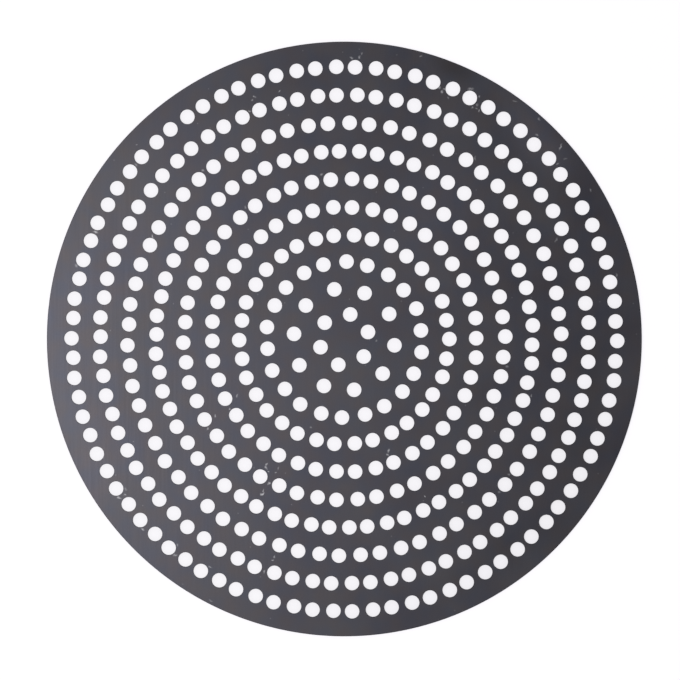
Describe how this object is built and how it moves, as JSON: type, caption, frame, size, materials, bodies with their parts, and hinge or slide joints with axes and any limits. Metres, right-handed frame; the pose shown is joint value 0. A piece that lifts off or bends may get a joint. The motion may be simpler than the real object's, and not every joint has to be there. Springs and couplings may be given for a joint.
{
  "type": "perforated pizza disk",
  "caption": "Flat round sheet-metal disk, open all over with concentric rings of round vent holes, on which a pizza is baked so that its underside dries and browns.",
  "frame": {"origin": "middle of the round disk, on the plane of its underside", "axes": "+Z out of the top face, on which the pizza lies; +X and +Y lie in the sheet, with +X to the right and +Y to the top of the picture, and the holes' first punch line at 137.83 degrees from +X towards +Y"},
  "size_m": [0.4063, 0.4064, 0.0016],
  "materials": {
    "anodised_aluminium": "dark hard-coat anodised, satin"
  },
  "bodies": {
    "root": {"perforated_disk": "anodised_aluminium"}
  },
  "joints": []
}
